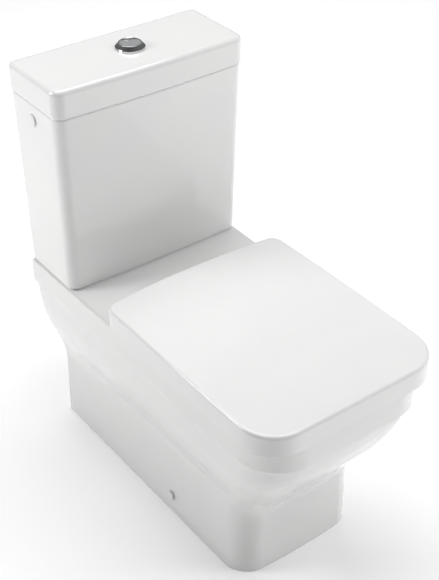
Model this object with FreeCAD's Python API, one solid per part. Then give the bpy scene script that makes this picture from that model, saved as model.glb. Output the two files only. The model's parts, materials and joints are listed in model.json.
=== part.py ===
import FreeCAD, Part
import math
import os

# Close coupled, back-to-wall toilet.  Millimetres.
# Origin: on the floor, at the wall line, in the middle of the width.
# +Z is up, the bowl faces -Y, +X is on the right of a viewer who faces the bowl.

Vector = FreeCAD.Vector
X_AXIS = Vector(1, 0, 0)
Y_AXIS = Vector(0, 1, 0)
Z_AXIS = Vector(0, 0, 1)

# ---------------------------------------------------------------- driving dimensions

PAN_LENGTH = 700.0            # wall to the front of the rim band
PAN_TOP = 400.0               # height of the ceramic seat plane
RIM_BAND = 53.5               # height of the vertical band below the seat plane
RIM_HALF_REAR = 186.6
RIM_HALF_FRONT = 177.4
RIM_CORNER = 84.0
WALL = 12.0                   # ceramic wall thickness
DECK_PAD = 3.0                # raised pad that carries the cistern
PAD_FRONT = -143.6
PAD_HALF = 178.0
SIDE_FIX_HOLE = 7.0

BOWL_WALL = 10.0
TRAP_BORE = 37.0              # radius of the waterway
OUTLET_HEIGHT = 180.0
SPIGOT_RADIUS = 51.0
SPIGOT_END = -55.0
SPIGOT_LENGTH = 55.0
SPIGOT_BORE = 40.0

CISTERN_TOP = 748.0
TANK_HALF_LOW = 185.0         # half width of the tank at its foot and at its top
TANK_HALF_HIGH = 190.0
TANK_FRONT_LOW = -144.5       # front face at the same two heights
TANK_FRONT_HIGH = -155.0
TANK_CORNER = 20.0
CISTERN_REAR = -2.0
CISTERN_BOW = 4.5             # forward bow of the front face
CISTERN_FLOOR = 12.0
CISTERN_WALL = 10.0
VALVE_Y = -72.0               # centre line of the flush valve and of the side holes
SIDE_HOLE_Z = 717.0
SIDE_HOLE_RADIUS = 9.3
SIDE_WALL_X = 189.8           # just outside the cistern wall at the side holes

LID_BOTTOM = 748.3
LID_TOP = 798.2
LID_HALF = 191.3
LID_FRONT = -157.3
LID_REAR = -0.5
LID_CEILING = 788.0

BUTTON_X = 4.0
BUTTON_Y = -79.0
BEZEL_RADIUS = 26.4
BEZEL_EDGE = 801.8            # height of the bezel's upright flank
BEZEL_TOP = 807.4             # inner rim of the bezel, level with the buttons
BUTTON_RADIUS = 18.8

HINGE_Y = -268.0
HINGE_Z = 422.0
HINGE_X = 77.5                # seat bolts are 155 apart
PIN_RADIUS = 4.0
RUNNING_GAP = 0.05

COVER_BOTTOM = 401.2
COVER_TOP = 442.8
COVER_FRONT = -706.8
COVER_REAR = -250.5
COVER_HALF = 187.0
COVER_SKIRT = 4.0
COVER_CEILING = 436.2

RING_BOTTOM = 405.5
RING_TOP = 428.5
RING_REAR = -292.0

PEDESTAL_FIX_Y = -367.0
PEDESTAL_FIX_Z = 41.0
PEDESTAL_SKIN_X = 133.9       # outside of the pedestal wall at the side fixing


# ---------------------------------------------------------------- shared shapes

def cylinder(radius, start, end):
    """Round bar from start to end."""
    along = end.sub(start)
    return Part.makeCylinder(radius, along.Length, start, along)


def tube(outer, inner, start, end):
    """Round tube from start to end."""
    return cylinder(outer, start, end).cut(cylinder(inner, start, end))


def box(low, high):
    """Box between two corners."""
    size = [high[i] - low[i] for i in range(3)]
    return Part.makeBox(size[0], size[1], size[2], Vector(*low))


def fuse_all(shapes):
    """One solid from several touching ones."""
    whole = shapes[0]
    for piece in shapes[1:]:
        whole = whole.fuse(piece)
    return whole.removeSplitter()


def mirrored(shape):
    """The same shape on the other side of the centre plane."""
    return shape.mirror(Vector(0, 0, 0), X_AXIS)


def both_sides(shape):
    """A right-hand piece and its left-hand twin as two separate solids."""
    return Part.makeCompound([shape, mirrored(shape)])


def hexagon(across_flats, start, end):
    """Hexagonal prism from start to end along Z or X."""
    along = end.sub(start)
    reach = across_flats / math.sqrt(3)
    corners = []
    for k in range(7):
        angle = math.radians(60 * k)
        if abs(along.x) > abs(along.z):
            corner = start + Vector(0, reach * math.cos(angle), reach * math.sin(angle))
        else:
            corner = start + Vector(reach * math.cos(angle), reach * math.sin(angle), 0)
        corners.append(corner)
    return Part.Face(Part.makePolygon(corners)).extrude(along)


def edges_where(shape, test):
    """Edges whose midpoint passes the test."""
    chosen = []
    for edge in shape.Edges:
        middle = edge.valueAt((edge.FirstParameter + edge.LastParameter) / 2)
        if test(edge, middle):
            chosen.append(edge)
    return chosen


def is_upright(edge, middle):
    """True for an edge that runs mostly along Z."""
    ends = edge.Vertexes
    if len(ends) < 2:
        return False
    run = ends[1].Point.sub(ends[0].Point)
    return abs(run.z) > 0.9 * run.Length and run.Length > 1.0


def arc(start, middle, end):
    """Circular arc edge through three points."""
    return Part.Arc(start, middle, end).toShape()


def bowed_panel(half_rear, half_front, side_bow, y_rear, rear_bow, y_front, front_bow, z):
    """Closed outline of four gentle arcs: rear, left, front, right."""
    rear_right = Vector(half_rear, y_rear, z)
    rear_left = Vector(-half_rear, y_rear, z)
    front_left = Vector(-half_front, y_front, z)
    front_right = Vector(half_front, y_front, z)
    half_mid = (half_rear + half_front) / 2 + side_bow
    y_mid = (y_rear + y_front) / 2
    edges = []
    if rear_bow:
        edges.append(arc(rear_right, Vector(0, y_rear + rear_bow, z), rear_left))
    else:
        edges.append(Part.makeLine(rear_right, rear_left))
    if side_bow:
        edges.append(arc(rear_left, Vector(-half_mid, y_mid, z), front_left))
    else:
        edges.append(Part.makeLine(rear_left, front_left))
    edges.append(arc(front_left, Vector(0, y_front - front_bow, z), front_right))
    if side_bow:
        edges.append(arc(front_right, Vector(half_mid, y_mid, z), rear_right))
    else:
        edges.append(Part.makeLine(front_right, rear_right))
    return Part.Wire(edges)


def soft_block(lower, upper, front_radius, rear_radius, y_split):
    """Solid between two outlines, its upright edges rounded."""
    block = Part.makeLoft([lower, upper], True, True)
    front = edges_where(block, lambda e, m: is_upright(e, m) and m.y < y_split)
    block = block.makeFillet(front_radius, front)
    if rear_radius:
        rear = edges_where(block, lambda e, m: is_upright(e, m) and m.y > y_split and abs(m.x) > 100)
        block = block.makeFillet(rear_radius, rear)
    return block


def edges_at_height(shape, z):
    """Edges that lie at one height."""
    def lies_there(edge, middle):
        flat = edge.BoundBox.ZLength < 0.5
        return flat and abs(middle.z - z) < 0.3
    return edges_where(shape, lies_there)


# ---------------------------------------------------------------- pan

def pan_section(z, half_rear, half_front, y_front, front_bow, corner, y_rear):
    """Outline of the pan at one height: straight back and sides, conic front corners."""
    slope = (half_rear - half_front) / (PAN_LENGTH - corner)
    side_y = y_front + front_bow + corner
    rear_x = half_front + slope * (y_rear - side_y)
    front_x = half_front - corner
    front_y = y_front + front_bow * 0.35

    def both(x, y):
        return Vector(x, y, z), Vector(-x, y, z)
    rear, rear_left = both(rear_x, y_rear)
    side, side_left = both(half_front, side_y)
    sharp, sharp_left = both(half_front, y_front + front_bow)
    front, front_left = both(front_x, front_y)
    edges = [Part.makeLine(rear_left, rear)]
    edges.append(Part.makeLine(rear, side))
    edges.append(corner_curve(side, sharp, front))
    edges.append(arc(front, Vector(0, y_front, z), front_left))
    edges.append(corner_curve(front_left, sharp_left, side_left))
    edges.append(Part.makeLine(side_left, rear_left))
    return Part.Wire(edges)


def corner_curve(start, control, end):
    """Quarter-round conic between two tangent directions."""
    curve = Part.BezierCurve()
    curve.setPoles([start, control, end])
    curve.setWeight(2, math.sqrt(0.5))
    return curve.toShape()


# height, half width at the back, half width at the front, front y, front bow, corner radius
PAN_STATIONS = [
    (0.0, 138.8, 133.4, -584.0, 8.0, 44.0),
    (45.0, 137.0, 132.4, -584.0, 8.0, 44.0),
    (90.0, 135.4, 131.4, -584.0, 8.0, 45.0),
    (126.0, 134.3, 130.4, -584.9, 8.0, 46.2),
    (149.0, 135.3, 130.4, -589.6, 7.4, 48.6),
    (172.0, 139.6, 132.2, -600.9, 6.4, 52.6),
    (200.0, 148.9, 140.1, -619.3, 5.0, 58.0),
    (235.0, 161.2, 152.0, -643.0, 3.5, 66.0),
    (272.0, 171.2, 162.2, -664.5, 2.5, 73.0),
    (308.0, 176.8, 168.0, -682.0, 2.0, 78.0),
    (336.0, 178.6, 169.8, -691.5, 1.5, 80.0),
    (354.0, 178.9, 170.0, -695.0, 1.5, 80.0),
]


def pan_body(inset, bottom, top, y_rear):
    """Lofted pedestal and underbowl, pulled in by the inset."""
    wires = []
    for z, half_rear, half_front, y_front, bow, corner in PAN_STATIONS:
        height = z
        if z == PAN_STATIONS[0][0]:
            height = bottom
        if z == PAN_STATIONS[-1][0]:
            height = top
        half_rear -= inset
        half_front -= inset
        radius = corner - inset * 0.5
        wires.append(pan_section(height, half_rear, half_front, y_front + inset, bow, radius, y_rear))
    return Part.makeLoft(wires, True, False)


def rim_band():
    """Vertical band around the top of the pan."""
    low = PAN_TOP - RIM_BAND
    outline = pan_section(low, RIM_HALF_REAR, RIM_HALF_FRONT, -PAN_LENGTH, 1.5, RIM_CORNER, 0.0)
    band = Part.Face(outline).extrude(Vector(0, 0, RIM_BAND))
    band = band.makeFillet(6.0, edges_at_height(band, PAN_TOP))
    lower = edges_where(band, lambda e, m: abs(m.z - low) < 0.3 and m.y < -1.0)
    return band.makeFillet(4.0, lower)


# height, half width, half length, centre y
BOWL_STATIONS = [
    (PAN_TOP + 2.0, 128.0, 158.0, -505.0),
    (368.0, 127.0, 156.0, -504.0),
    (318.0, 119.0, 146.0, -499.0),
    (266.0, 101.0, 127.0, -489.0),
    (214.0, 76.0, 101.0, -475.0),
    (172.0, 54.0, 76.0, -462.0),
    (140.0, 38.0, 56.0, -455.0),
]


def bowl_form(extra, lowest):
    """Funnel of the bowl, grown by a wall thickness."""
    wires = []
    for z, half_width, half_length, y in BOWL_STATIONS:
        height = z
        if z == BOWL_STATIONS[-1][0]:
            height = lowest
        oval = Part.Ellipse(Vector(0, y, height), half_length + extra, half_width + extra).toShape()
        oval.rotate(Vector(0, y, height), Z_AXIS, 90)
        wires.append(Part.Wire([oval]))
    return Part.makeLoft(wires, True, False)


def bent_path(points, radius):
    """Path of straight runs joined by tangent arcs of one radius."""
    edges = []
    start = points[0]
    for before, corner, after in zip(points, points[1:], points[2:]):
        incoming = before.sub(corner).normalize()
        outgoing = after.sub(corner).normalize()
        half_turn = incoming.getAngle(outgoing) / 2
        setback = radius / math.tan(half_turn)
        entry = corner + incoming * setback
        leave = corner + outgoing * setback
        bisector = (incoming + outgoing).normalize()
        middle = corner + bisector * (radius / math.sin(half_turn) - radius)
        edges.append(Part.makeLine(start, entry))
        edges.append(arc(entry, middle, leave))
        start = leave
    edges.append(Part.makeLine(start, points[-1]))
    return Part.Wire(edges)


def pipe(points, bend, radius):
    """Round bar swept along a bent path."""
    path = bent_path(points, bend)
    heading = points[1].sub(points[0])
    ring = Part.Wire([Part.makeCircle(radius, points[0], heading)])
    return path.makePipeShell([ring], True, False)


TRAP_POINTS = [
    Vector(0, -452, 168),
    Vector(0, -392, 113),
    Vector(0, -250, 272),
    Vector(0, -165, OUTLET_HEIGHT),
    Vector(0, -100, OUTLET_HEIGHT),
]
TRAP_BEND = 52.0

DUCT_HEIGHT = 344.0
DUCT_BORE = 28.0
DUCT_BEND = 34.0
GASKET_SEAT = 379.0
GASKET_RADIUS = 50.0
DUCT_POINTS = [
    Vector(0, VALVE_Y, GASKET_SEAT + 2.0),
    Vector(0, VALVE_Y, DUCT_HEIGHT),
    Vector(0, -372, DUCT_HEIGHT),
]
COLLAR_BOTTOM = 366.0
THROAT_RADIUS = 33.0
DECK_UNDERSIDE = PAN_TOP - WALL

COUPLING_X = 80.0
COUPLING_HOLE = 6.5
SEAT_HOLE = 7.0
BOWL_PLUG_BOTTOM = 128.0
SUMP_FLOOR = 140.0


def upright_bar(radius, x, y, low, high):
    """Round bar along Z."""
    return cylinder(radius, Vector(x, y, low), Vector(x, y, high))


def pan_outside():
    """Outer form of the pan: shrouded body, rim band and the raised pad under the cistern."""
    pad_low = bowed_panel(PAD_HALF, PAD_HALF, 0.0, -4.0, 0.0, PAD_FRONT, CISTERN_BOW, PAN_TOP - 2.0)
    pad_top = PAN_TOP + DECK_PAD
    pad_high = bowed_panel(PAD_HALF, PAD_HALF, 0.0, -4.0, 0.0, PAD_FRONT, CISTERN_BOW, pad_top)
    pad = soft_block(pad_low, pad_high, 14.0, 12.0, -80.0)
    pad = pad.makeFillet(1.6, edges_at_height(pad, pad_top))
    body = pan_body(0.0, 0.0, PAN_TOP - RIM_BAND + 8.0, 0.0)
    return fuse_all([body, rim_band(), pad])


def pan():
    """Ceramic shell: shrouds, rim and deck around an open back and foot."""
    cavity = pan_body(WALL, -1.0, DECK_UNDERSIDE, -WALL)
    window = box((-105, -20, 30), (105, 5, 322))
    shell = pan_outside().cut(cavity.fuse(window))
    shell = shell.cut(bowl_form(BOWL_WALL, BOWL_PLUG_BOTTOM))
    above = PAN_TOP + 10
    shell = shell.cut(upright_bar(GASKET_RADIUS + 0.6, 0, VALVE_Y, GASKET_SEAT, above))
    for side in (-1, 1):
        shell = shell.cut(upright_bar(COUPLING_HOLE, side * COUPLING_X, VALVE_Y, 370, above))
        shell = shell.cut(upright_bar(SEAT_HOLE, side * HINGE_X, HINGE_Y, 370, above))
    side_fix = side_fix_bar(SIDE_FIX_HOLE, 110, 150)
    return shell.cut(side_fix).cut(mirrored(side_fix))


def pan_bowl():
    """Ceramic bowl that hangs in the rim, open to the trap and to the flush duct."""
    outer = bowl_form(BOWL_WALL, BOWL_PLUG_BOTTOM).common(box((-300, -700, 0), (300, 0, PAN_TOP)))
    bowl = outer.cut(bowl_form(0.0, SUMP_FLOOR))

    def is_mouth(edge, middle):
        return abs(middle.z - PAN_TOP) < 0.2 and edge.BoundBox.XLength < 262
    bowl = bowl.makeFillet(7.0, edges_where(bowl, is_mouth))
    bowl = bowl.cut(pipe(TRAP_POINTS, TRAP_BEND, TRAP_BORE))
    return bowl.cut(pipe(DUCT_POINTS, DUCT_BEND, DUCT_BORE))


def pan_trapway():
    """Ceramic P-trap behind the bowl, ending in the waste spigot."""
    wall = pipe(TRAP_POINTS, TRAP_BEND, TRAP_BORE + BOWL_WALL)
    spigot_start = Vector(0, SPIGOT_END - SPIGOT_LENGTH, OUTLET_HEIGHT)
    spigot_end = Vector(0, SPIGOT_END, OUTLET_HEIGHT)
    trap = wall.fuse(cylinder(SPIGOT_RADIUS, spigot_start, spigot_end)).removeSplitter()
    trap = trap.cut(bowl_form(BOWL_WALL, BOWL_PLUG_BOTTOM))
    trap = trap.cut(pipe(TRAP_POINTS, TRAP_BEND, TRAP_BORE))
    return trap.cut(cylinder(SPIGOT_BORE, spigot_start - Y_AXIS * 2, spigot_end + Y_AXIS * 5))


def pan_flush_duct():
    """Ceramic duct from the cistern's gasket seat forward to the bowl."""
    wall = pipe(DUCT_POINTS, DUCT_BEND, DUCT_BORE + BOWL_WALL)
    wall = wall.common(box((-60, -400, 0), (60, 0, DECK_UNDERSIDE)))
    collar = upright_bar(GASKET_RADIUS + BOWL_WALL, 0, VALVE_Y, COLLAR_BOTTOM, DECK_UNDERSIDE)
    duct = wall.fuse(collar).removeSplitter()
    duct = duct.cut(bowl_form(BOWL_WALL, BOWL_PLUG_BOTTOM))
    duct = duct.cut(pipe(DUCT_POINTS, DUCT_BEND, DUCT_BORE))
    recess = upright_bar(GASKET_RADIUS + 0.6, 0, VALVE_Y, GASKET_SEAT, PAN_TOP)
    throat = upright_bar(THROAT_RADIUS, 0, VALVE_Y, GASKET_SEAT - 9.0, GASKET_SEAT + 1)
    return duct.cut(recess).cut(throat)


# ---------------------------------------------------------------- cistern

TANK_BOTTOM = PAN_TOP + DECK_PAD
TANK_FLOOR = TANK_BOTTOM + CISTERN_FLOOR
TANK_HOLE = 31.0


def tank_outline(inset, z):
    """Cistern outline at a height: it widens and deepens evenly upwards."""
    share = (z - PAN_TOP) / (CISTERN_TOP - PAN_TOP)
    half = TANK_HALF_LOW + (TANK_HALF_HIGH - TANK_HALF_LOW) * share - inset
    front = TANK_FRONT_LOW + (TANK_FRONT_HIGH - TANK_FRONT_LOW) * share + inset
    return bowed_panel(half, half, 0.0, CISTERN_REAR - inset, 0.0, front, CISTERN_BOW, z)


def cistern_tank():
    """Open-topped ceramic tank."""
    foot = tank_outline(0.0, TANK_BOTTOM)
    tank = soft_block(foot, tank_outline(0.0, CISTERN_TOP), TANK_CORNER, 9.0, -80.0)
    tank = tank.makeFillet(3.0, edges_at_height(tank, TANK_BOTTOM))
    tank = tank.makeFillet(3.0, edges_at_height(tank, CISTERN_TOP))
    low = tank_outline(CISTERN_WALL, TANK_FLOOR)
    high = tank_outline(CISTERN_WALL, CISTERN_TOP + 5.0)
    inside = soft_block(low, high, TANK_CORNER - CISTERN_WALL, 9.0, -80.0)
    inside = inside.makeFillet(6.0, edges_at_height(inside, TANK_FLOOR))
    tank = tank.cut(inside)
    tank = tank.cut(cylinder(TANK_HOLE, Vector(0, VALVE_Y, 395), Vector(0, VALVE_Y, 420)))
    for side in (-1, 1):
        at_x = side * COUPLING_X
        tank = tank.cut(cylinder(COUPLING_HOLE, Vector(at_x, VALVE_Y, 395), Vector(at_x, VALVE_Y, 420)))
    left = Vector(-200, VALVE_Y, SIDE_HOLE_Z)
    right = Vector(200, VALVE_Y, SIDE_HOLE_Z)
    return tank.cut(cylinder(SIDE_HOLE_RADIUS, left, right))


def lid_outline(inset, z):
    """Outline of the cistern lid."""
    half = LID_HALF - inset
    return bowed_panel(half, half, 0.0, LID_REAR - inset, 0.0, LID_FRONT + inset, CISTERN_BOW, z)


LID_HOLE = 21.4


def cistern_lid():
    """Ceramic lid: a shallow tray turned over, with a locating lip inside the tank."""
    lid = soft_block(lid_outline(0.0, LID_BOTTOM), lid_outline(0.0, LID_TOP), 20.0, 10.0, -80.0)
    lid = lid.makeFillet(9.0, edges_at_height(lid, LID_TOP))
    lid = lid.makeFillet(2.0, edges_at_height(lid, LID_BOTTOM))
    lip_low = lid_outline(17.0, LID_BOTTOM - 9.0)
    lip = soft_block(lip_low, lid_outline(17.0, LID_BOTTOM + 5.0), 8.0, 8.0, -80.0)
    lid = lid.fuse(lip)
    hollow_low = lid_outline(24.0, LID_BOTTOM - 12.0)
    hollow = soft_block(hollow_low, lid_outline(24.0, LID_CEILING), 8.0, 8.0, -80.0)
    lid = lid.cut(hollow)
    return lid.cut(upright_bar(LID_HOLE, BUTTON_X, BUTTON_Y, 780, 810))


def blanking_cap():
    """Plug in the unused left side hole."""
    skin = -SIDE_WALL_X
    head = cylinder(10.7, Vector(skin - 2.6, VALVE_Y, SIDE_HOLE_Z), Vector(skin + 0.2, VALVE_Y, SIDE_HOLE_Z))
    head = head.makeFillet(1.2, edges_where(head, lambda e, m: m.x < skin - 2.5 and e.Length > 5))
    stem = cylinder(8.6, Vector(skin, VALVE_Y, SIDE_HOLE_Z), Vector(skin + 13, VALVE_Y, SIDE_HOLE_Z))
    bore = cylinder(6.0, Vector(skin + 3, VALVE_Y, SIDE_HOLE_Z), Vector(skin + 14, VALVE_Y, SIDE_HOLE_Z))
    trim = box((skin - 3, VALVE_Y - 12, SIDE_HOLE_Z - 12), (skin, VALVE_Y + 12, SIDE_HOLE_Z + 12))
    return head.common(trim).fuse(stem).cut(bore).removeSplitter()


# ---------------------------------------------------------------- fill valve

THREAD_RADIUS = 8.33          # G3/8 hose thread
SHANK_RADIUS = 9.0
THREAD_START = 198.4
INLET_END = 213.0
INNER_WALL_X = 179.2
GUIDE_X = 138.0
GUIDE_RADIUS = 5.0
FLOAT_RADIUS = 25.0
FLOAT_BOTTOM = 566.0
FLOAT_HEIGHT = 58.0
FLOAT_TRAVEL = 60.0
VALVE_BLOCK_BOTTOM = 698.0


def side_bar(radius, x_low, x_high):
    """Round bar along X on the axis of the cistern's side holes."""
    return cylinder(radius, Vector(x_low, VALVE_Y, SIDE_HOLE_Z), Vector(x_high, VALVE_Y, SIDE_HOLE_Z))


def fill_valve_body():
    """Side-entry inlet valve with its guide post."""
    shank = side_bar(SHANK_RADIUS, GUIDE_X, THREAD_START)
    thread = side_bar(THREAD_RADIUS, GUIDE_X, INLET_END)
    flange = side_bar(15.0, 170.0, INNER_WALL_X - 3)
    block = box((116, VALVE_Y - 18, VALVE_BLOCK_BOTTOM), (162, VALVE_Y + 18, 734))
    block = block.makeFillet(6.0, edges_where(block, is_upright))
    cap = upright_bar(15.0, GUIDE_X, VALVE_Y, 733, 741)
    guide = upright_bar(GUIDE_RADIUS, GUIDE_X, VALVE_Y, FLOAT_BOTTOM - 6, VALVE_BLOCK_BOTTOM + 1)
    stop = upright_bar(12.0, GUIDE_X, VALVE_Y, FLOAT_BOTTOM - 8, FLOAT_BOTTOM - 2)
    body = fuse_all([shank, thread, flange, block, cap, guide, stop])
    return body.cut(side_bar(5.5, 160, INLET_END + 1))


def fill_valve_washer():
    """Rubber seal between the valve flange and the tank wall."""
    washer = side_bar(14.0, INNER_WALL_X - 3, INNER_WALL_X)
    return washer.cut(side_bar(SHANK_RADIUS, 170, 180))


def fill_valve_nut():
    """Back nut outside the tank."""
    start = Vector(SIDE_WALL_X + 0.2, VALVE_Y, SIDE_HOLE_Z)
    nut = hexagon(27.0, start, start + Vector(8.0, 0, 0))
    return nut.cut(side_bar(SHANK_RADIUS, 180, 200))


def fill_valve_float():
    """Float that slides on the guide post."""
    top = FLOAT_BOTTOM + FLOAT_HEIGHT
    cup = upright_bar(FLOAT_RADIUS, GUIDE_X, VALVE_Y, FLOAT_BOTTOM, top)
    cup = cup.makeFillet(3.0, edges_where(cup, lambda e, m: e.BoundBox.ZLength < 1))
    return cup.cut(upright_bar(GUIDE_RADIUS + RUNNING_GAP, GUIDE_X, VALVE_Y, FLOAT_BOTTOM, top))


# ---------------------------------------------------------------- flush valve

TOWER_OUTER = 27.0
OVERFLOW_RADIUS = 12.0
LEVER_Z = 664.0
LEVER_PIVOT_X = -24.0
LEVER_ROD_X = -38.0
LATCH_PIVOT_X = 24.0
LATCH_ROD_X = 38.0
PIVOT_RADIUS = 2.0
LEVER_HALF = 4.0              # half thickness of both levers
LEVER_REACH = 17.6            # half width of both levers
TOWER_TOP = 672.0
BRACKET_Y = 20.0              # half spacing of the pivot cheeks


def flush_valve_body():
    """Seat, cage and guide tower of the flush valve."""
    def level(z):
        return Vector(0, VALVE_Y, z)
    shank = tube(29.5, 24.5, level(372), level(419))
    flange = tube(40.0, 24.5, level(418), level(424))
    cage = tube(36.0, 32.5, level(423), level(500))
    for angle in range(0, 360, 60):
        slot = box((20, -9, 436), (45, 9, 488))
        slot.rotate(Vector(0, 0, 0), Z_AXIS, angle)
        slot.translate(Vector(0, VALVE_Y, 0))
        cage = cage.cut(slot)
    roof = tube(36.0, OVERFLOW_RADIUS + 6, level(499), level(503))
    tower = tube(TOWER_OUTER - 5, OVERFLOW_RADIUS + 6, level(502), level(648))
    table = tube(34.0, OVERFLOW_RADIUS + 6, level(640), level(646))
    body = fuse_all([shank, flange, cage, roof, tower, table])
    for pivot_x in (LEVER_PIVOT_X, LATCH_PIVOT_X):
        for side in (-1, 1):
            centre_y = VALVE_Y + side * BRACKET_Y
            cheek = box((pivot_x - 5, centre_y - 1.5, 644), (pivot_x + 5, centre_y + 1.5, TOWER_TOP))
            body = body.fuse(cheek)
        start = Vector(pivot_x, VALVE_Y - BRACKET_Y, LEVER_Z)
        end = Vector(pivot_x, VALVE_Y + BRACKET_Y, LEVER_Z)
        body = body.fuse(cylinder(PIVOT_RADIUS, start, end))
    return body.removeSplitter()


def flush_valve_washer():
    """Rubber seal under the valve flange."""
    return tube(39.0, 29.5, Vector(0, VALVE_Y, TANK_FLOOR), Vector(0, VALVE_Y, 418))


def flush_valve_nut():
    """Lobed back nut under the tank."""
    nut = cylinder(37.5, Vector(0, VALVE_Y, 391), Vector(0, VALVE_Y, TANK_BOTTOM))
    for angle in range(0, 360, 45):
        groove = cylinder(4.0, Vector(39.5, 0, 390), Vector(39.5, 0, 405))
        groove.rotate(Vector(0, 0, 0), Z_AXIS, angle)
        groove.translate(Vector(0, VALVE_Y, 0))
        nut = nut.cut(groove)
    return nut.cut(cylinder(29.5, Vector(0, VALVE_Y, 390), Vector(0, VALVE_Y, 405)))


def coupling_gasket():
    """Doughnut gasket that covers the back nut and sits in the pan recess."""
    ring = cylinder(GASKET_RADIUS, Vector(0, VALVE_Y, GASKET_SEAT), Vector(0, VALVE_Y, TANK_BOTTOM))
    ring = ring.makeFillet(3.0, edges_at_height(ring, GASKET_SEAT))
    ring = ring.cut(cylinder(38.0, Vector(0, VALVE_Y, 390.5), Vector(0, VALVE_Y, 405)))
    return ring.cut(cylinder(30.0, Vector(0, VALVE_Y, 375), Vector(0, VALVE_Y, 405)))


def overflow_tube():
    """Overflow tube that carries the valve disc; it lifts to flush."""
    def level(z):
        return Vector(0, VALVE_Y, z)
    stem = tube(OVERFLOW_RADIUS, OVERFLOW_RADIUS - 2, level(429), level(690))
    plate = tube(26.0, OVERFLOW_RADIUS - 2, level(428), level(432))
    collar = tube(15.0, OVERFLOW_RADIUS - 2, level(LEVER_Z + 6.2), level(LEVER_Z + 9.7))
    return fuse_all([stem, plate, collar])


def flush_disc_seal():
    """Rubber disc on the foot of the overflow tube."""
    return tube(29.0, 10.0, Vector(0, VALVE_Y, 424), Vector(0, VALVE_Y, 428))


def full_flush_lever():
    """Forked lever: the rod pushes one end down, the fork lifts the tube."""
    low = LEVER_Z - LEVER_HALF
    high = LEVER_Z + LEVER_HALF
    whole = box((LEVER_ROD_X - 4, VALVE_Y - LEVER_REACH, low), (12, VALVE_Y + LEVER_REACH, high))
    lever = whole.cut(box((LEVER_PIVOT_X - 6, VALVE_Y - 14.0, low - 1), (20, VALVE_Y + 14.0, high + 1)))
    start = Vector(LEVER_PIVOT_X, VALVE_Y - 30, LEVER_Z)
    end = Vector(LEVER_PIVOT_X, VALVE_Y + 30, LEVER_Z)
    return lever.cut(cylinder(PIVOT_RADIUS + RUNNING_GAP, start, end))


def half_flush_latch():
    """Short lever that the half-flush rod tips."""
    low = (LATCH_PIVOT_X - 5, VALVE_Y - LEVER_REACH, LEVER_Z - LEVER_HALF)
    plate = box(low, (LATCH_ROD_X + 4, VALVE_Y + LEVER_REACH, LEVER_Z + LEVER_HALF))
    plate = plate.makeFillet(2.0, edges_where(plate, lambda e, m: e.BoundBox.YLength > 30))
    start = Vector(LATCH_PIVOT_X, VALVE_Y - 30, LEVER_Z)
    end = Vector(LATCH_PIVOT_X, VALVE_Y + 30, LEVER_Z)
    return plate.cut(cylinder(PIVOT_RADIUS + RUNNING_GAP, start, end))


# ---------------------------------------------------------------- close coupling fasteners

def right_coupling(radius, low, high):
    """Round piece on the right coupling bolt axis."""
    return cylinder(radius, Vector(COUPLING_X, VALVE_Y, low), Vector(COUPLING_X, VALVE_Y, high))


BOLT_RADIUS = 4.0


def coupling_bolts():
    """Bolts from inside the tank down through the deck."""
    shank = right_coupling(BOLT_RADIUS, 352, 421)
    head = right_coupling(9.0, 419.6, 424.5)
    head = head.makeFillet(1.5, edges_at_height(head, 424.5))
    slot = box((COUPLING_X - 10, VALVE_Y - 0.9, 422.5), (COUPLING_X + 10, VALVE_Y + 0.9, 426))
    return both_sides(shank.fuse(head).cut(slot).removeSplitter())


def coupling_rubber_washers():
    """Rubber seals under the bolt heads."""
    washer = right_coupling(13.0, TANK_FLOOR, 418).cut(right_coupling(BOLT_RADIUS, 410, 420))
    return both_sides(washer)


def coupling_metal_washers():
    """Metal washers above the rubber seals and under the deck."""
    upper = right_coupling(12.0, 418, 419.6).cut(right_coupling(BOLT_RADIUS, 410, 420))
    lower = right_coupling(12.0, DECK_UNDERSIDE - 1.6, DECK_UNDERSIDE)
    lower = lower.cut(right_coupling(BOLT_RADIUS, 380, 400))
    return Part.makeCompound([upper, mirrored(upper), lower, mirrored(lower)])


def wing_nut(centre, top):
    """Two-winged nut hanging below a height on a vertical bolt."""
    hub = cylinder(9.0, centre + Vector(0, 0, top - 11), centre + Vector(0, 0, top))
    wings = box((centre.x - 17, centre.y - 2, top - 11), (centre.x + 17, centre.y + 2, top - 3))
    bore = cylinder(BOLT_RADIUS, centre + Vector(0, 0, top - 20), centre + Vector(0, 0, top + 5))
    return hub.fuse(wings).removeSplitter().cut(bore)


def coupling_wing_nuts():
    """Wing nuts under the deck."""
    return both_sides(wing_nut(Vector(COUPLING_X, VALVE_Y, 0), DECK_UNDERSIDE - 1.6))


# ---------------------------------------------------------------- button unit

HALF_BUTTON_RADIUS = 6.0
HALF_BUTTON_OFFSET = 11.0
BUTTON_GAP = 0.4
BUTTON_BASE = 797.0
BUTTON_EDGE = 807.2
BUTTON_DOME = 150.0
BUTTON_CROWN = 1.3            # rise of the dome over the edge
ROD_FOOT = 2.0
ROD_END_Z = LEVER_Z + 5.4
FULL_ROD = Vector(BUTTON_X - 9.0, BUTTON_Y - 3.5, 0)
HALF_ROD = Vector(BUTTON_X + 1.0, BUTTON_Y + HALF_BUTTON_OFFSET - 1.0, 0)
FULL_ROD_RADIUS = 3.0
HALF_ROD_RADIUS = 2.5
SPRING_SEAT = 770.0
BEZEL_FOOT = 766.0


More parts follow.
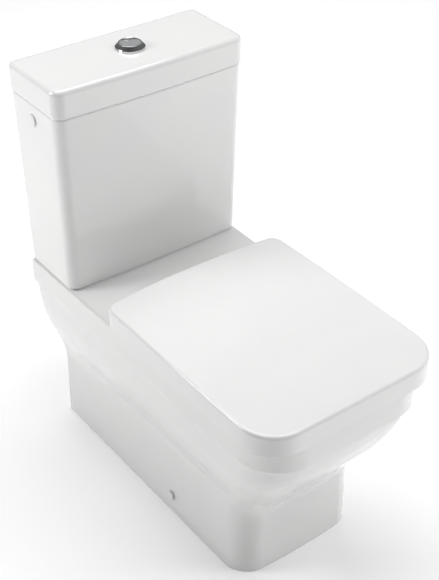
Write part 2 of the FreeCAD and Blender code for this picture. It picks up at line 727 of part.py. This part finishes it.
def button_bezel():
    """Chrome surround: upright flank, broad bevel rising inward to the buttons, threaded neck."""
    bore = BUTTON_RADIUS + BUTTON_GAP
    neck = LID_HOLE - 0.4
    steps = [
        (BEZEL_RADIUS - 0.3, LID_TOP),
        (BEZEL_RADIUS, LID_TOP + 0.4),
        (BEZEL_RADIUS, BEZEL_EDGE - 0.7),
        (BEZEL_RADIUS - 0.5, BEZEL_EDGE),
        (bore + 1.4, BEZEL_TOP - 0.2),
        (bore + 0.5, BEZEL_TOP),
        (bore, BEZEL_TOP - 0.4),
        (bore, BEZEL_FOOT),
        (neck, BEZEL_FOOT),
        (neck, LID_TOP),
    ]
    profile = [Vector(BUTTON_X + radius, BUTTON_Y, z) for radius, z in steps]
    outline = Part.makePolygon(profile + [profile[0]])
    ring = Part.Face(outline).revolve(Vector(BUTTON_X, BUTTON_Y, 0), Z_AXIS, 360)
    web = upright_bar(bore + 0.8, BUTTON_X, BUTTON_Y, SPRING_SEAT - 3, SPRING_SEAT)
    bezel = ring.fuse(web)
    for rod, radius in ((FULL_ROD, FULL_ROD_RADIUS), (HALF_ROD, HALF_ROD_RADIUS)):
        bezel = bezel.cut(upright_bar(radius + 0.5, rod.x, rod.y, 760, 775))
    return bezel


def bezel_nut():
    """Nut that clamps the bezel under the lid."""
    nut = hexagon(56.0, Vector(BUTTON_X, BUTTON_Y, 779), Vector(BUTTON_X, BUTTON_Y, LID_CEILING))
    return nut.cut(upright_bar(LID_HOLE - 0.4, BUTTON_X, BUTTON_Y, 770, 790))


def button_disc(radius):
    """Round button blank with a gently domed top."""
    blank = upright_bar(radius, BUTTON_X, BUTTON_Y, BUTTON_BASE, BUTTON_EDGE + 3)
    crown = Vector(BUTTON_X, BUTTON_Y, BUTTON_EDGE + BUTTON_CROWN)
    return blank.common(Part.makeSphere(BUTTON_DOME, crown - Z_AXIS * BUTTON_DOME))


def full_flush_button():
    """Main button, with a round hole for the small one."""
    hole_y = BUTTON_Y + HALF_BUTTON_OFFSET
    hole = upright_bar(HALF_BUTTON_RADIUS + BUTTON_GAP, BUTTON_X, hole_y, 780, 820)
    button = button_disc(BUTTON_RADIUS).cut(hole)
    rim = edges_where(button, lambda e, m: m.z > BUTTON_EDGE - 1.0)
    return button.makeFillet(0.5, rim)


def half_flush_button():
    """Small round button inside the main one."""
    small = upright_bar(HALF_BUTTON_RADIUS, BUTTON_X, BUTTON_Y + HALF_BUTTON_OFFSET, 780, 820)
    button = button_disc(BUTTON_RADIUS).common(small)
    rim = edges_where(button, lambda e, m: m.z > BUTTON_EDGE - 1.0)
    return button.makeFillet(0.4, rim)


def full_flush_rod():
    """Push rod with a foot that reaches the lever."""
    at_y = FULL_ROD.y
    rod = cylinder(FULL_ROD_RADIUS, FULL_ROD + Vector(0, 0, 716), FULL_ROD + Vector(0, 0, BUTTON_BASE))
    arm = box((LEVER_ROD_X - 3, at_y - 3, 716), (FULL_ROD.x + 3, at_y + 3, 722))
    foot = cylinder(ROD_FOOT, Vector(LEVER_ROD_X, at_y, ROD_END_Z), Vector(LEVER_ROD_X, at_y, 718))
    return fuse_all([rod, arm, foot])


def half_flush_rod():
    """Push rod with a foot that reaches the latch."""
    at_y = HALF_ROD.y
    rod = cylinder(HALF_ROD_RADIUS, HALF_ROD + Vector(0, 0, 726), HALF_ROD + Vector(0, 0, BUTTON_BASE))
    arm = box((HALF_ROD.x - 3, at_y - 2.5, 726), (LATCH_ROD_X + 3, at_y + 2.5, 732))
    foot = cylinder(ROD_FOOT, Vector(LATCH_ROD_X, at_y, ROD_END_Z), Vector(LATCH_ROD_X, at_y, 728))
    return fuse_all([rod, arm, foot])


def return_spring(axis, radius):
    """Coil spring of faceted square wire from the bezel's web up to the underside of a button."""
    wire = 0.55
    steps = 14
    turns = 6
    rise = BUTTON_BASE - SPRING_SEAT - 2 * wire - 0.2
    sections = []
    for i in range(steps * turns + 1):
        angle = 2 * math.pi * i / steps
        out = Vector(math.cos(angle), math.sin(angle), 0)
        centre = axis + out * radius + Vector(0, 0, SPRING_SEAT + wire + 0.1 + rise * i / (steps * turns))
        up = Vector(0, 0, wire)
        sections.append([centre + out * wire, centre + up, centre - out * wire, centre - up])
    first = sections[0]
    last = sections[-1]
    triangles = [(first[0], first[1], first[2]), (first[2], first[3], first[0])]
    triangles += [(last[0], last[2], last[1]), (last[2], last[0], last[3])]
    for first, second in zip(sections, sections[1:]):
        for k in range(4):
            following = (k + 1) % 4
            triangles.append((first[k], second[k], second[following]))
            triangles.append((first[k], second[following], first[following]))
    faces = [Part.Face(Part.makePolygon([p, q, r, p])) for p, q, r in triangles]
    coil = Part.makeSolid(Part.makeShell(faces))
    if coil.Volume < 0:
        coil.reverse()
    return coil


def full_flush_spring():
    """Return spring of the full-flush button."""
    return return_spring(FULL_ROD, FULL_ROD_RADIUS + 1.4)


def half_flush_spring():
    """Return spring of the half-flush button."""
    return return_spring(HALF_ROD, HALF_ROD_RADIUS + 1.2)


# ---------------------------------------------------------------- seat

def seat_form(inset, low, high, front_radius, rear_radius):
    """Soft rectangle of the seat, pulled in by the inset."""
    half = COVER_HALF - inset
    rear = COVER_REAR - inset
    wires = []
    for z in (low, high):
        wires.append(bowed_panel(half, half, 1.6, rear - 9.5, 9.5, COVER_FRONT + 2.0 + inset, 2.0, z))
    return soft_block(wires[0], wires[1], front_radius - inset, rear_radius - inset * 0.8, -400.0)


CROWN_RADIUS = 16000.0
REAR_SWING = 21.3             # largest reach of the cover's rear foot about the hinge
LUG_RADIUS = 8.0
RING_LUG = (88.0, 100.0)
COVER_LUG = (101.0, 113.0)
DAMPER_LUG = (34.0, 66.0)
DAMPER_RADIUS = 6.5


def hinge_bar(radius, x_low, x_high):
    """Round bar on the right-hand part of the hinge axis."""
    return cylinder(radius, Vector(x_low, HINGE_Y, HINGE_Z), Vector(x_high, HINGE_Y, HINGE_Z))


def seat_cover():
    """Wrap-over cover: crowned top, deep skirt, hinge lugs under the rear."""
    shell = seat_form(0.0, COVER_BOTTOM, COVER_TOP + 6.0, 70.0, 24.0)
    crown_centre = Vector(0, (COVER_FRONT + COVER_REAR) / 2, COVER_TOP + 1.0 - CROWN_RADIUS)
    shell = shell.common(Part.makeSphere(CROWN_RADIUS, crown_centre))
    top_edges = edges_where(shell, lambda e, m: m.z > COVER_TOP - 4.0 and not is_upright(e, m))
    shell = shell.makeFillet(6.0, top_edges)
    shell = shell.makeFillet(1.2, edges_at_height(shell, COVER_BOTTOM))
    inside = seat_form(COVER_SKIRT, COVER_BOTTOM - 5.0, COVER_CEILING, 70.0, 24.0)
    shell = shell.cut(inside.makeFillet(4.0, edges_at_height(inside, COVER_CEILING)))
    below = box((-220, HINGE_Y, 390), (220, HINGE_Y + 30, HINGE_Z))
    swing = cylinder(REAR_SWING, Vector(-220, HINGE_Y, HINGE_Z), Vector(220, HINGE_Y, HINGE_Z))
    shell = shell.cut(below.cut(swing))
    for side in (-1, 1):
        low = (min(side * 66, side * 89), HINGE_Y + 2, 390)
        high = (max(side * 66, side * 89), HINGE_Y + 30, 435)
        shell = shell.cut(box(low, high))
    lug = hinge_bar(LUG_RADIUS, COVER_LUG[0], COVER_LUG[1])
    web_low = (COVER_LUG[0], HINGE_Y - LUG_RADIUS, HINGE_Z)
    web = box(web_low, (COVER_LUG[1], HINGE_Y + LUG_RADIUS, COVER_CEILING + 1))
    lug = lug.fuse(web).cut(hinge_bar(PIN_RADIUS + RUNNING_GAP, 90, 125))
    return fuse_all([shell, lug, mirrored(lug)])


def seat_opening(grow, low, high):
    """Oval opening of the ring."""
    wires = []
    for z in (low, high):
        oval = Part.Ellipse(Vector(0, -500, z), 150.0 + grow, 108.0 + grow).toShape()
        oval.rotate(Vector(0, -500, z), Z_AXIS, 90)
        wires.append(Part.Wire([oval]))
    return Part.makeLoft(wires, True, True)


def seat_ring():
    """Seat ring with its hinge and damper lugs."""
    ring = seat_form(COVER_SKIRT + 2.5, RING_BOTTOM, RING_TOP, 70.0, 24.0)
    ring = ring.common(box((-220, -720, 390), (220, RING_REAR, 440)))
    corners = edges_where(ring, lambda e, m: is_upright(e, m) and m.y > RING_REAR - 1)
    ring = ring.makeFillet(14.0, corners)
    ring = ring.cut(seat_opening(0.0, 390.0, 440.0))
    ring = ring.makeFillet(7.0, edges_at_height(ring, RING_TOP))
    ring = ring.makeFillet(2.5, edges_at_height(ring, RING_BOTTOM))
    for x_low, x_high in (RING_LUG, DAMPER_LUG):
        lug = hinge_bar(LUG_RADIUS, x_low, x_high)
        arm = box((x_low, RING_REAR - 12, HINGE_Z - 7), (x_high, HINGE_Y, HINGE_Z + 5))
        lug = lug.fuse(arm)
        ring = ring.fuse(lug).fuse(mirrored(lug))
    ring = ring.removeSplitter()
    pin_hole = hinge_bar(PIN_RADIUS + RUNNING_GAP, 60, 120)
    damper_hole = hinge_bar(DAMPER_RADIUS, 30, 70)
    for hole in (pin_hole, damper_hole):
        ring = ring.cut(hole).cut(mirrored(hole))
    return ring


def buffer_pad(x, y, low, high):
    """Small oval rubber pad."""
    pad = box((x - 6, y - 14, low), (x + 6, y + 14, high))
    return pad.makeFillet(5.0, edges_where(pad, is_upright))


def ring_buffers():
    """Rubber pads under the ring."""
    pads = []
    for y in (-330.0, -612.0):
        pads.append(buffer_pad(148.0, y, PAN_TOP, RING_BOTTOM))
        pads.append(buffer_pad(-148.0, y, PAN_TOP, RING_BOTTOM))
    return Part.makeCompound(pads)


def cover_buffers():
    """Rubber pads under the cover."""
    pads = []
    for y in (-360.0, -600.0):
        pads.append(buffer_pad(148.0, y, RING_TOP, COVER_CEILING))
        pads.append(buffer_pad(-148.0, y, RING_TOP, COVER_CEILING))
    return Part.makeCompound(pads)


def on_hinge_bolt(radius, low, high):
    """Round piece on the right seat bolt."""
    return upright_bar(radius, HINGE_X, HINGE_Y, low, high)


STUD_TOP = PAN_TOP + 11.0
SEAT_WASHER = 4.0


def hinge_posts():
    """Hinge pillars: a round foot on the deck and an eye for the pin."""
    foot = on_hinge_bolt(10.0, PAN_TOP, PAN_TOP + 3)
    neck = on_hinge_bolt(7.5, PAN_TOP + 2, HINGE_Z)
    eye = hinge_bar(LUG_RADIUS, HINGE_X - 8.5, HINGE_X + 8.5)
    post = fuse_all([foot, neck, eye]).cut(hinge_bar(PIN_RADIUS, 60, 100))
    return both_sides(post.cut(on_hinge_bolt(BOLT_RADIUS, PAN_TOP - 1, STUD_TOP)))


def hinge_pins():
    """Stainless pins on the hinge axis."""
    return both_sides(hinge_bar(PIN_RADIUS, 67.5, 115.0))


def hinge_dampers():
    """Soft-close cartridges in the inner lugs of the ring."""
    return both_sides(hinge_bar(DAMPER_RADIUS, DAMPER_LUG[0], DAMPER_LUG[1]))


def hinge_bolts():
    """Studs from the hinge posts down through the deck."""
    return both_sides(on_hinge_bolt(BOLT_RADIUS, 352, STUD_TOP))


def hinge_rubber_washers():
    """Rubber cones that centre the studs in the seat holes."""
    washer = on_hinge_bolt(14.0, DECK_UNDERSIDE - SEAT_WASHER, DECK_UNDERSIDE)
    spigot = on_hinge_bolt(SEAT_HOLE - 0.3, DECK_UNDERSIDE - 1, DECK_UNDERSIDE + 8)
    cone = washer.fuse(spigot).removeSplitter()
    return both_sides(cone.cut(on_hinge_bolt(BOLT_RADIUS, 370, STUD_TOP)))


def hinge_wing_nuts():
    """Wing nuts that clamp the seat."""
    return both_sides(wing_nut(Vector(HINGE_X, HINGE_Y, 0), DECK_UNDERSIDE - SEAT_WASHER))


# ---------------------------------------------------------------- floor fixing

BRACKET_INNER = PEDESTAL_SKIN_X - WALL - 1.8
BRACKET_HALF = 20.0
FLOOR_HOLE_X = 92.0
FLOOR_HOLE_RADIUS = 3.5
SCREW_RADIUS = 2.5
CAP_RADIUS = 9.4


def side_fix_bar(radius, x_low, x_high):
    """Round piece on the axis of the right side fixing."""
    low = Vector(x_low, PEDESTAL_FIX_Y, PEDESTAL_FIX_Z)
    return cylinder(radius, low, Vector(x_high, PEDESTAL_FIX_Y, PEDESTAL_FIX_Z))


def floor_brackets():
    """Angle brackets that stand on the floor just inside the pan wall."""
    near = PEDESTAL_FIX_Y - BRACKET_HALF
    far = PEDESTAL_FIX_Y + BRACKET_HALF
    foot = box((72.0, near, 0.0), (BRACKET_INNER, far, 8.0))
    wall = box((BRACKET_INNER - 12, near, 0.0), (BRACKET_INNER, far, 58.0))
    bracket = foot.fuse(wall).removeSplitter()
    bracket = bracket.cut(upright_bar(FLOOR_HOLE_RADIUS, FLOOR_HOLE_X, PEDESTAL_FIX_Y, -1, 11))
    return both_sides(bracket.cut(side_fix_bar(SCREW_RADIUS, 100, 130)))


def side_screws():
    """Screws from outside, through the pan wall into the brackets."""
    head = side_fix_bar(5.5, PEDESTAL_SKIN_X + 0.6, PEDESTAL_SKIN_X + 2.2)
    shank = side_fix_bar(SCREW_RADIUS, 104.0, PEDESTAL_SKIN_X + 1.0)
    return both_sides(shank.fuse(head).removeSplitter())


def side_cover_caps():
    """Snap-on discs that hide the side screws."""
    outer = PEDESTAL_SKIN_X + 4.2
    cap = side_fix_bar(CAP_RADIUS, PEDESTAL_SKIN_X + 0.6, outer)
    cap = cap.makeFillet(1.4, edges_where(cap, lambda e, m: m.x > outer - 0.1))
    return both_sides(cap.cut(side_fix_bar(5.7, PEDESTAL_SKIN_X, PEDESTAL_SKIN_X + 2.2)))


# ---------------------------------------------------------------- writing

NODES = {
    "pan": pan,
    "pan_bowl": pan_bowl,
    "pan_trapway": pan_trapway,
    "pan_flush_duct": pan_flush_duct,
    "cistern_tank": cistern_tank,
    "cistern_lid": cistern_lid,
    "blanking_cap": blanking_cap,
    "fill_valve_body": fill_valve_body,
    "fill_valve_washer": fill_valve_washer,
    "fill_valve_nut": fill_valve_nut,
    "fill_valve_float": fill_valve_float,
    "flush_valve_body": flush_valve_body,
    "flush_valve_washer": flush_valve_washer,
    "flush_valve_nut": flush_valve_nut,
    "coupling_gasket": coupling_gasket,
    "overflow_tube": overflow_tube,
    "flush_disc_seal": flush_disc_seal,
    "full_flush_lever": full_flush_lever,
    "half_flush_latch": half_flush_latch,
    "coupling_bolts": coupling_bolts,
    "coupling_rubber_washers": coupling_rubber_washers,
    "coupling_metal_washers": coupling_metal_washers,
    "coupling_wing_nuts": coupling_wing_nuts,
    "button_bezel": button_bezel,
    "bezel_nut": bezel_nut,
    "full_flush_button": full_flush_button,
    "half_flush_button": half_flush_button,
    "full_flush_rod": full_flush_rod,
    "half_flush_rod": half_flush_rod,
    "full_flush_spring": full_flush_spring,
    "half_flush_spring": half_flush_spring,
    "seat_ring": seat_ring,
    "seat_cover": seat_cover,
    "ring_buffers": ring_buffers,
    "cover_buffers": cover_buffers,
    "hinge_posts": hinge_posts,
    "hinge_pins": hinge_pins,
    "hinge_dampers": hinge_dampers,
    "hinge_bolts": hinge_bolts,
    "hinge_rubber_washers": hinge_rubber_washers,
    "hinge_wing_nuts": hinge_wing_nuts,
    "floor_brackets": floor_brackets,
    "side_screws": side_screws,
    "side_cover_caps": side_cover_caps,
}

os.makedirs("parts", exist_ok=True)
for node, make in NODES.items():
    shape = make()
    bounds = shape.BoundBox
    low = "%.1f %.1f %.1f" % (bounds.XMin, bounds.YMin, bounds.ZMin)
    high = "%.1f %.1f %.1f" % (bounds.XMax, bounds.YMax, bounds.ZMax)
    print(node, len(shape.Solids), shape.isValid(), round(shape.Volume / 1000.0, 1), "|", low, "|", high)
    shape.exportStep("parts/" + node + ".step")
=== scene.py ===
import json
import math

import bpy
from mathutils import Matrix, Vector

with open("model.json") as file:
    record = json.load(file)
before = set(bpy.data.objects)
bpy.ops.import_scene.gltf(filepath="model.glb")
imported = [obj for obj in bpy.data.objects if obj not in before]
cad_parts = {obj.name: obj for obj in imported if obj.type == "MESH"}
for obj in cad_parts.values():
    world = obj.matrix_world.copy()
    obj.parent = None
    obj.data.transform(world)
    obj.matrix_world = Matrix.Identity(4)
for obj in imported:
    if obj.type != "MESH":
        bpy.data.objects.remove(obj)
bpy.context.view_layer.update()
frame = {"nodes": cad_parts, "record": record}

NODES = frame["nodes"]

SLOT_OF = {entry["node"]: entry["material_slot"] for entry in frame["record"]["subparts"]}
WHITE = (1.0, 1.0, 1.0, 1.0)
PATTERN_LOW = 0.3             # a noise pattern runs mostly between these two values
PATTERN_HIGH = 0.7


# ---------------------------------------------------------------- material helpers

class Nodes:
    """Short way to build a shader tree."""

    def __init__(self, name):
        self.material = bpy.data.materials.new(name)
        self.material.use_nodes = True
        self.tree = self.material.node_tree
        self.shader = self.tree.nodes["Principled BSDF"]
        self.coords = self.tree.nodes.new("ShaderNodeTexCoord").outputs["Object"]

    def add(self, kind, **values):
        """New node with socket values given by name."""
        node = self.tree.nodes.new(kind)
        for key, value in values.items():
            node.inputs[key.replace("_", " ")].default_value = value
        return node

    def link(self, source, target):
        self.tree.links.new(source, target)

    def noise(self, scale, detail=2.0, stretch=None):
        """Noise pattern in object space, metres."""
        node = self.add("ShaderNodeTexNoise", Scale=scale, Detail=detail)
        source = self.coords
        if stretch:
            mapping = self.add("ShaderNodeMapping", Scale=stretch)
            self.link(source, mapping.inputs["Vector"])
            source = mapping.outputs["Vector"]
        self.link(source, node.inputs["Vector"])
        return node.outputs["Fac"]

    def ramp(self, source, low, high):
        """Colour ramp between two colours."""
        node = self.tree.nodes.new("ShaderNodeValToRGB")
        stops = node.color_ramp.elements
        for stop, place, colour in ((stops[0], PATTERN_LOW, low), (stops[1], PATTERN_HIGH, high)):
            stop.position = place
            stop.color = (*colour, 1.0)
        self.link(source, node.inputs["Fac"])
        return node.outputs["Color"]

    def map_range(self, source, start, end, low, high):
        """Number that goes from low to high as the source goes from start to end."""
        node = self.add("ShaderNodeMapRange", From_Min=start, From_Max=end, To_Min=low, To_Max=high)
        self.link(source, node.inputs["Value"])
        return node.outputs["Result"]

    def spread(self, source, low, high):
        """Number between low and high, led by a pattern."""
        return self.map_range(source, PATTERN_LOW, PATTERN_HIGH, low, high)

    def bump(self, source, strength, distance):
        """Surface relief from a pattern."""
        node = self.add("ShaderNodeBump", Strength=strength, Distance=distance)
        self.link(source, node.inputs["Height"])
        previous = self.shader.inputs["Normal"]
        if previous.is_linked:
            self.link(previous.links[0].from_socket, node.inputs["Normal"])
        self.link(node.outputs["Normal"], previous)

    def colour(self, source):
        self.link(source, self.shader.inputs["Base Color"])

    def roughness(self, source):
        self.link(source, self.shader.inputs["Roughness"])

    def set(self, **values):
        for key, value in values.items():
            self.shader.inputs[key.replace("_", " ")].default_value = value


# ---------------------------------------------------------------- materials

GLAZE_SOFTNESS = 0.006        # radius over which the glaze rounds its shading
GLAZE_SAMPLES = 8


def glazed_ceramic():
    """White glaze: faint warm and cool clouds, glaze ripple, tiny pinholes and softened edges."""
    n = Nodes("sanitary_ceramic")
    cloud = n.noise(7.0, 3.0)
    n.colour(n.ramp(cloud, (0.800, 0.802, 0.800), (0.824, 0.822, 0.815)))
    n.roughness(n.spread(n.noise(40.0, 4.0), 0.05, 0.10))
    soft = n.add("ShaderNodeBevel", Radius=GLAZE_SOFTNESS)
    soft.samples = GLAZE_SAMPLES
    n.link(soft.outputs["Normal"], n.shader.inputs["Normal"])
    n.bump(n.noise(28.0, 1.0), 0.10, 0.0006)
    n.bump(n.noise(420.0, 2.0), 0.03, 0.0002)
    n.set(IOR=1.52, Coat_Weight=0.35, Coat_Roughness=0.03)
    return n.material


def duroplast():
    """Pressed white thermoset of the seat: very even, a little whiter than the glaze."""
    n = Nodes("white_duroplast")
    n.colour(n.ramp(n.noise(11.0, 2.0), (0.815, 0.815, 0.812), (0.832, 0.832, 0.828)))
    n.roughness(n.spread(n.noise(90.0, 3.0), 0.08, 0.13))
    n.bump(n.noise(700.0, 2.0), 0.025, 0.0001)
    n.set(IOR=1.50, Coat_Weight=0.2, Coat_Roughness=0.05)
    return n.material


def chrome():
    """Plated chrome with fine polishing haze."""
    n = Nodes("chrome_plate")
    n.colour(n.ramp(n.noise(60.0, 3.0), (0.70, 0.71, 0.72), (0.78, 0.79, 0.80)))
    n.roughness(n.spread(n.noise(900.0, 4.0), 0.03, 0.08))
    n.set(Metallic=1.0)
    return n.material


def steel():
    """Turned stainless steel with fine tool marks."""
    n = Nodes("stainless_steel")
    grain = n.noise(300.0, 4.0, stretch=(1.0, 1.0, 9.0))
    n.colour(n.ramp(grain, (0.44, 0.44, 0.45), (0.58, 0.58, 0.59)))
    n.roughness(n.spread(grain, 0.22, 0.38))
    n.bump(grain, 0.15, 0.00015)
    n.set(Metallic=1.0)
    return n.material


def brass():
    """Bare brass with a dull cast skin."""
    n = Nodes("brass_metal")
    n.colour(n.ramp(n.noise(120.0, 4.0), (0.52, 0.36, 0.14), (0.70, 0.52, 0.24)))
    n.roughness(n.spread(n.noise(500.0, 4.0), 0.28, 0.45))
    n.bump(n.noise(600.0, 3.0), 0.25, 0.0002)
    n.set(Metallic=1.0)
    return n.material


def moulded(name, low, high, rough_low=0.32, rough_high=0.46):
    """Injection-moulded plastic with a fine spark-eroded skin."""
    n = Nodes(name)
    n.colour(n.ramp(n.noise(35.0, 3.0), low, high))
    n.roughness(n.spread(n.noise(260.0, 3.0), rough_low, rough_high))
    n.bump(n.noise(1500.0, 3.0), 0.12, 0.0001)
    return n.material


def rubber(name, low, high):
    """Dusty moulded rubber."""
    n = Nodes(name)
    n.colour(n.ramp(n.noise(80.0, 5.0), low, high))
    n.roughness(n.spread(n.noise(300.0, 4.0), 0.55, 0.80))
    n.bump(n.noise(1100.0, 4.0), 0.3, 0.0002)
    return n.material


MATERIALS = {
    "sanitary_ceramic": glazed_ceramic(),
    "white_duroplast": duroplast(),
    "chrome_plate": chrome(),
    "white_cap_plastic": moulded("white_cap_plastic", (0.79, 0.79, 0.78), (0.83, 0.83, 0.82), 0.14, 0.24),
    "white_valve_plastic": moulded("white_valve_plastic", (0.66, 0.66, 0.64), (0.74, 0.74, 0.72)),
    "grey_valve_plastic": moulded("grey_valve_plastic", (0.16, 0.18, 0.21), (0.22, 0.24, 0.28)),
    "blue_valve_plastic": moulded("blue_valve_plastic", (0.02, 0.09, 0.30), (0.04, 0.13, 0.38)),
    "black_rubber": rubber("black_rubber", (0.012, 0.012, 0.013), (0.030, 0.029, 0.028)),
    "grey_rubber": rubber("grey_rubber", (0.10, 0.10, 0.105), (0.15, 0.15, 0.155)),
    "brass_metal": brass(),
    "stainless_steel": steel(),
}


def dress_frame():
    """Gives every carried-over CAD node its material."""
    for name, obj in NODES.items():
        material = MATERIALS[SLOT_OF[name]]
        obj.data.materials.clear()
        obj.data.materials.append(material)


# ---------------------------------------------------------------- camera, light, floor

CAMERA_AZIMUTH = math.radians(-36.75)
CAMERA_ELEVATION = math.radians(36.79)
CAMERA_DISTANCE = 2.0611
CAMERA_TARGET = Vector((0.0, -0.350, 0.400))
CAMERA_LENS = 72.8
CAMERA_SHIFT = (-0.0068, 0.0371)


def make_camera():
    """Camera at the front left, looking down at the pan."""
    data = bpy.data.cameras.new("camera")
    camera = bpy.data.objects.new("camera", data)
    bpy.context.scene.collection.objects.link(camera)
    flat = math.cos(CAMERA_ELEVATION)
    sideways = math.sin(CAMERA_AZIMUTH) * flat
    forward = -math.cos(CAMERA_AZIMUTH) * flat
    back = Vector((sideways, forward, math.sin(CAMERA_ELEVATION)))
    camera.location = CAMERA_TARGET + back * CAMERA_DISTANCE
    camera.rotation_euler = (-back).to_track_quat("-Z", "Y").to_euler()
    data.lens = CAMERA_LENS
    data.shift_x, data.shift_y = CAMERA_SHIFT
    bpy.context.scene.camera = camera


# name, place, aim, diameter in metres, watts, and the rays that it is hidden from
LAMPS = [
    ("overhead", (0.35, 0.35, 3.4), (0.0, -0.35, 0.4), 2.5, 58.0, None),
    ("right_high", (1.8, -1.8, 2.6), (0.0, -0.3, 0.4), 1.6, 33.0, "visible_glossy"),
    ("left_high", (-1.5, 0.5, 1.5), (-0.19, -0.08, 0.68), 0.8, 16.0, None),
    ("right_front", (2.1, -2.6, 1.1), (0.0, -0.3, 0.4), 2.0, 18.0, "visible_glossy"),
    ("back_right", (1.45, 1.85, 2.6), (0.0, -0.08, 0.8), 2.4, 4.5, "visible_diffuse"),
]
DARK_SIDE = (-0.62, -0.78, 0.0)
DARK_SIDE_REACH = 0.9         # share of that direction at which the surroundings are darkest
OPEN_STRENGTH = 0.14
DARK_STRENGTH = 0.02


def area_light(name, place, aim, size, power, hidden_from):
    """Round soft light that points from one place to another."""
    data = bpy.data.lights.new(name, "AREA")
    data.shape = "DISK"
    data.size = size
    data.energy = power
    light = bpy.data.objects.new(name, data)
    light.location = place
    light.rotation_euler = (Vector(aim) - Vector(place)).to_track_quat("-Z", "Y").to_euler()
    if hidden_from:
        setattr(light, hidden_from, False)
    bpy.context.scene.collection.objects.link(light)


def make_world():
    """White surroundings that are darker on one fixed side, in front of the pan on the left."""
    world = bpy.data.worlds.new("studio")
    bpy.context.scene.world = world
    world.use_nodes = True
    tree = world.node_tree
    direction = tree.nodes.new("ShaderNodeTexCoord").outputs["Generated"]
    towards = tree.nodes.new("ShaderNodeVectorMath")
    towards.operation = "DOT_PRODUCT"
    towards.inputs[1].default_value = DARK_SIDE
    strength = tree.nodes.new("ShaderNodeMapRange")
    strength.interpolation_type = "SMOOTHSTEP"
    limits = {"From Min": 0.0, "From Max": DARK_SIDE_REACH, "To Min": OPEN_STRENGTH, "To Max": DARK_STRENGTH}
    for key, value in limits.items():
        strength.inputs[key].default_value = value
    background = tree.nodes["Background"]
    background.inputs["Color"].default_value = WHITE
    tree.links.new(direction, towards.inputs[0])
    tree.links.new(towards.outputs["Value"], strength.inputs["Value"])
    tree.links.new(strength.outputs["Result"], background.inputs["Strength"])


def make_light():
    """Lamps overhead, high on both sides, in front on the right, and one behind for reflections."""
    make_world()
    for lamp in LAMPS:
        area_light(*lamp)
    bpy.context.scene.view_settings.view_transform = "Standard"


FLOOR_REACH = 12.0
FLOOR_CENTRE = (0.0, 0.35, 0.0)       # moves the pattern's origin to the middle of the pan
GLOW_START = 0.45                     # distances between which the floor's own glow rises
GLOW_END = 1.2
GLOW_NEAR = 0.20
GLOW_FAR = 0.50


def make_floor():
    """Pale floor that glows a little by itself, more so further out."""
    mesh = bpy.data.meshes.new("floor")
    reach = FLOOR_REACH
    corners = [(-reach, -reach, 0), (reach, -reach, 0), (reach, reach, 0), (-reach, reach, 0)]
    mesh.from_pydata(corners, [], [(0, 1, 2, 3)])
    floor = bpy.data.objects.new("floor", mesh)
    bpy.context.scene.collection.objects.link(floor)
    n = Nodes("floor")
    n.colour(n.ramp(n.noise(1.5, 2.0), (0.90, 0.90, 0.90), (0.93, 0.93, 0.93)))
    n.set(Roughness=0.9, Emission_Color=WHITE)
    centre = n.add("ShaderNodeMapping", Location=FLOOR_CENTRE)
    n.link(n.coords, centre.inputs["Vector"])
    distance = n.tree.nodes.new("ShaderNodeVectorMath")
    distance.operation = "LENGTH"
    n.link(centre.outputs["Vector"], distance.inputs[0])
    glow = n.map_range(distance.outputs["Value"], GLOW_START, GLOW_END, GLOW_NEAR, GLOW_FAR)
    n.link(glow, n.shader.inputs["Emission Strength"])
    mesh.materials.append(n.material)


make_camera()
make_light()
make_floor()
dress_frame()
